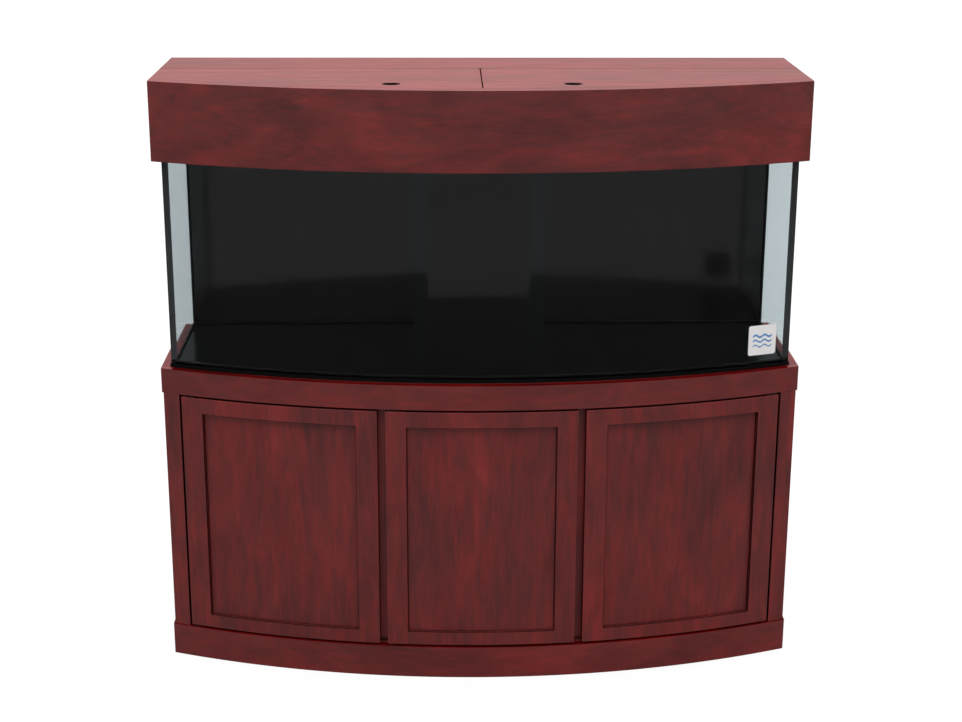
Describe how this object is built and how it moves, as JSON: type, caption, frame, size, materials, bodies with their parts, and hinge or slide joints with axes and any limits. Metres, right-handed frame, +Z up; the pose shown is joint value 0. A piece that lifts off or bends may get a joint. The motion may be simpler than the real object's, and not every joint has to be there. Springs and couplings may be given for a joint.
{
  "type": "bow-front aquarium on stand",
  "caption": "Wide bow-front glass aquarium with a black overflow box, on a dark wooden cabinet with bowed doors, under a lift-off wooden canopy with hinged lids.",
  "frame": {"origin": "on the floor under the middle of the object's box", "axes": "+Z up, the bowed front faces -Y, +X runs along the width to the right as seen from the front"},
  "size_m": [1.89, 0.6588, 1.772],
  "materials": {
    "stained_wood": "dark reddish mahogany stain under satin lacquer",
    "inner_wood": "stained plywood and framing timber, matt",
    "clear_glass": "clear polished float glass",
    "black_glass": "glass painted black behind, glossy",
    "silicone": "black aquarium silicone",
    "black_trim": "black moulded trim",
    "foam_mat": "closed-cell foam",
    "black_acrylic": "glossy black acrylic",
    "pipe_plastic": "dark grey PVC",
    "gasket_rubber": "rubber",
    "brass": "dark bronzed piano hinge, satin",
    "steel_hardware": "zinc-plated steel",
    "nylon": "dark nylon"
  },
  "bodies": {
    "stand_and_tank": {"apron": "stained_wood", "back_panel": "inner_wood", "bulkhead_gaskets": "gasket_rubber", "bulkhead_nuts": "pipe_plastic", "catch_magnets": "steel_hardware", "corner_stile_left": "stained_wood", "corner_stile_right": "stained_wood", "deck_beams": "inner_wood", "drain_bulkhead": "pipe_plastic", "floor_deck": "inner_wood", "frame_posts": "inner_wood", "levelling_mat": "foam_mat", "mullions": "stained_wood", "overflow_box": "black_acrylic", "pivot_bushes": "nylon", "plinth_back": "inner_wood", "plinth_front": "stained_wood", "plinth_left": "stained_wood", "plinth_right": "stained_wood", "plinth_sleepers": "inner_wood", "return_bulkhead": "pipe_plastic", "return_pipe": "pipe_plastic", "rim_strip_left": "stained_wood", "rim_strip_right": "stained_wood", "side_panel_left": "stained_wood", "side_panel_right": "stained_wood", "silicone_seams": "silicone", "standpipe": "pipe_plastic", "standpipe_cap": "pipe_plastic", "tank_back": "black_glass", "tank_bottom_trim": "black_trim", "tank_end_left": "clear_glass", "tank_end_right": "clear_glass", "tank_floor": "black_glass", "tank_front": "clear_glass", "top_brace": "clear_glass", "top_deck": "inner_wood"},
    "canopy": {"canopy_back": "stained_wood", "canopy_cleats": "inner_wood", "canopy_front": "stained_wood", "canopy_front_strip": "stained_wood", "canopy_hinge_leaves": "brass", "canopy_rear_top": "stained_wood", "canopy_rib": "inner_wood", "canopy_side_left": "stained_wood", "canopy_side_right": "stained_wood", "hinge_pins": "brass"},
    "lid_left": {"lid_left": "stained_wood", "lid_left_hinge_leaf": "brass"},
    "lid_right": {"lid_right": "stained_wood", "lid_right_hinge_leaf": "brass"},
    "door_left": {"door_left_frame": "stained_wood", "door_left_panel": "stained_wood", "door_left_hardware": "steel_hardware"},
    "door_middle": {"door_middle_frame": "stained_wood", "door_middle_panel": "stained_wood", "door_middle_hardware": "steel_hardware"},
    "door_right": {"door_right_frame": "stained_wood", "door_right_panel": "stained_wood", "door_right_hardware": "steel_hardware"}
  },
  "joints": [
    {"name": "door_left_swing", "type": "hinge", "parent": "stand_and_tank", "child": "door_left", "pos_m": [-0.87295, -0.15427, 0.4735], "axis": [0, 0, -1], "range_deg": [0, 110]},
    {"name": "door_middle_swing", "type": "hinge", "parent": "stand_and_tank", "child": "door_middle", "pos_m": [-0.26944, -0.29421, 0.4735], "axis": [0, 0, -1], "range_deg": [0, 110]},
    {"name": "door_right_swing", "type": "hinge", "parent": "stand_and_tank", "child": "door_right", "pos_m": [0.87295, -0.15427, 0.4735], "axis": [0, 0, 1], "range_deg": [0, 110]},
    {"name": "canopy_lift", "type": "slide", "parent": "stand_and_tank", "child": "canopy", "axis": [0, 0, 1], "range_m": [0, 0.3]},
    {"name": "lid_left_lift", "type": "hinge", "parent": "canopy", "child": "lid_left", "pos_m": [-0.47, 0.0935, 1.7693], "axis": [-1, 0, 0], "range_deg": [0, 95]},
    {"name": "lid_right_lift", "type": "hinge", "parent": "canopy", "child": "lid_right", "pos_m": [0.47, 0.0935, 1.7693], "axis": [-1, 0, 0], "range_deg": [0, 95]}
  ]
}
